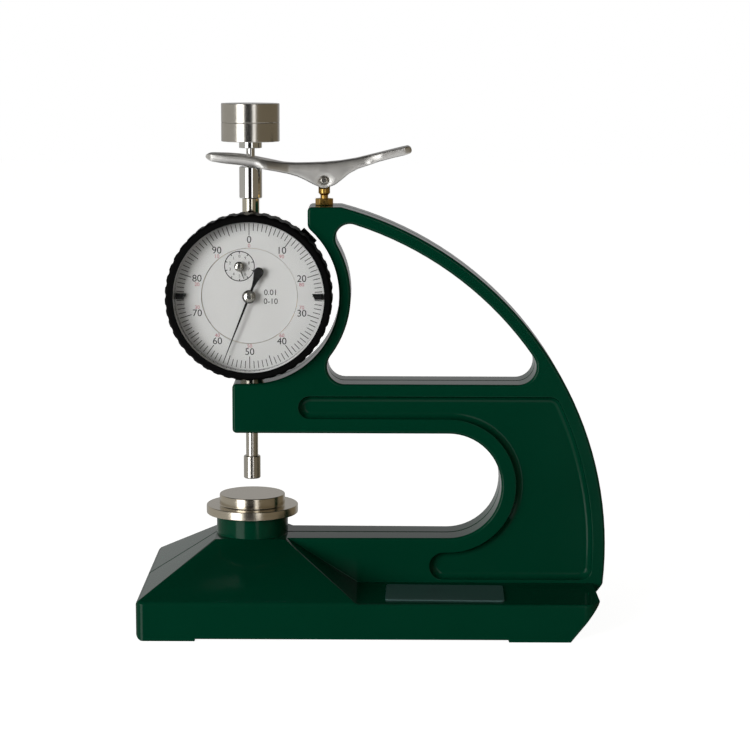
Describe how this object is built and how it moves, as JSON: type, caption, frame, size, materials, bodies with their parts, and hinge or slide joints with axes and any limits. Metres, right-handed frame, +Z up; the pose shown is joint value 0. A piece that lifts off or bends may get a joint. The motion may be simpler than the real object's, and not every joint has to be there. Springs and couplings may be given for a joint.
{
  "type": "dial thickness gauge",
  "caption": "Bench thickness gauge: cast C-frame on a plinth, round anvil, dial indicator with weighted spindle and a thumb lever that raises it.",
  "frame": {"origin": "on the bench, under the middle of the outline", "axes": "+Z up, +X from the spindle towards the back of the C-frame, the dial faces -Y"},
  "size_m": [0.1638, 0.082, 0.182],
  "materials": {
    "green_paint": "gloss green enamel",
    "ground_steel": "ground and turned",
    "dark_steel": "blackened",
    "bright_steel": "bright",
    "spring_steel": "blued",
    "chrome": "polished",
    "nickel": "nickel plated",
    "brass": "turned",
    "polished_aluminium": "polished",
    "case_metal": "satin",
    "black_plastic": "black moulded",
    "dial_white": "satin white",
    "hand_black": "black enamel",
    "hand_grey": "dark plated",
    "clear_lens": "clear"
  },
  "bodies": {
    "stand": {"frame_casting": "green_paint", "anvil": "ground_steel", "anvil_screw": "dark_steel", "stem_screw": "dark_steel", "lever_post": "brass", "post_nut": "brass", "case_body": "case_metal", "back_cover": "case_metal", "cover_screws": "bright_steel", "stem": "chrome", "lower_bush": "brass", "top_sleeve": "nickel", "upper_bush": "brass", "back_plate": "brass", "front_plate": "brass", "plate_pillars": "brass", "rear_bridge": "brass", "movement_screws": "bright_steel", "guide_rail": "bright_steel", "hairspring": "spring_steel", "hairspring_stud": "bright_steel", "inner_dial": "dial_white", "bezel_snap_ring": "bright_steel", "bezel_clip": "black_plastic", "clip_screw": "dark_steel"},
    "bezel": {"bezel_ring": "black_plastic", "clamp_ring": "case_metal", "dial_ring": "dial_white", "lens": "clear_lens"},
    "left_limit": {"left_marker": "hand_black"},
    "right_limit": {"right_marker": "hand_black"},
    "pointer_shaft": {"centre_arbor": "bright_steel", "pointer": "hand_black", "pointer_hub": "chrome"},
    "counter_shaft": {"counter_arbor": "bright_steel", "counter_wheel": "brass", "counter_hand": "hand_grey"},
    "takeup_shaft": {"takeup_arbor": "bright_steel", "takeup_wheel": "brass"},
    "spindle": {"rack_spindle": "ground_steel", "contact_foot": "ground_steel", "guide_pin": "ground_steel", "cap_sleeve": "chrome", "weight_rod": "ground_steel", "lower_weight": "ground_steel", "upper_weight": "ground_steel"},
    "lever": {"lift_lever": "polished_aluminium", "pivot_pin": "bright_steel"}
  },
  "joints": [
    {"name": "spindle_slide", "type": "slide", "parent": "stand", "child": "spindle", "axis": [0, 0, 1], "range_m": [-0.00556, 0.00444]},
    {"name": "pointer_turn", "type": "hinge", "parent": "stand", "child": "pointer_shaft", "pos_m": [-0.0439, 0, 0.11565], "axis": [0, 1, 0], "range_deg": [-2010, 1610]},
    {"name": "counter_turn", "type": "hinge", "parent": "stand", "child": "counter_shaft", "pos_m": [-0.04731, 0, 0.12605], "axis": [0, 1, 0], "range_deg": [-165, 205]},
    {"name": "takeup_turn", "type": "hinge", "parent": "stand", "child": "takeup_shaft", "pos_m": [-0.04049, 0, 0.10525], "axis": [0, 1, 0], "range_deg": [-165, 205]},
    {"name": "lever_tilt", "type": "hinge", "parent": "stand", "child": "lever", "pos_m": [-0.0181, 0, 0.1555], "axis": [0, 1, 0], "range_deg": [-12.6, 10.1]},
    {"name": "bezel_turn", "type": "hinge", "parent": "stand", "child": "bezel", "pos_m": [-0.0439, 0, 0.11565], "axis": [0, 1, 0], "continuous": true},
    {"name": "left_limit_turn", "type": "hinge", "parent": "bezel", "child": "left_limit", "pos_m": [-0.0439, 0, 0.11565], "axis": [0, 1, 0], "range_deg": [-80, 80]},
    {"name": "right_limit_turn", "type": "hinge", "parent": "bezel", "child": "right_limit", "pos_m": [-0.0439, 0, 0.11565], "axis": [0, 1, 0], "range_deg": [-80, 80]}
  ],
  "couplings": [
    {"joint": "pointer_turn", "follows": "spindle_slide", "rad_per_m": 6283.2},
    {"joint": "counter_turn", "follows": "spindle_slide", "rad_per_m": -628.32},
    {"joint": "takeup_turn", "follows": "spindle_slide", "rad_per_m": -628.32},
    {"joint": "lever_tilt", "follows": "spindle_slide", "rad_per_m": 38.76}
  ]
}
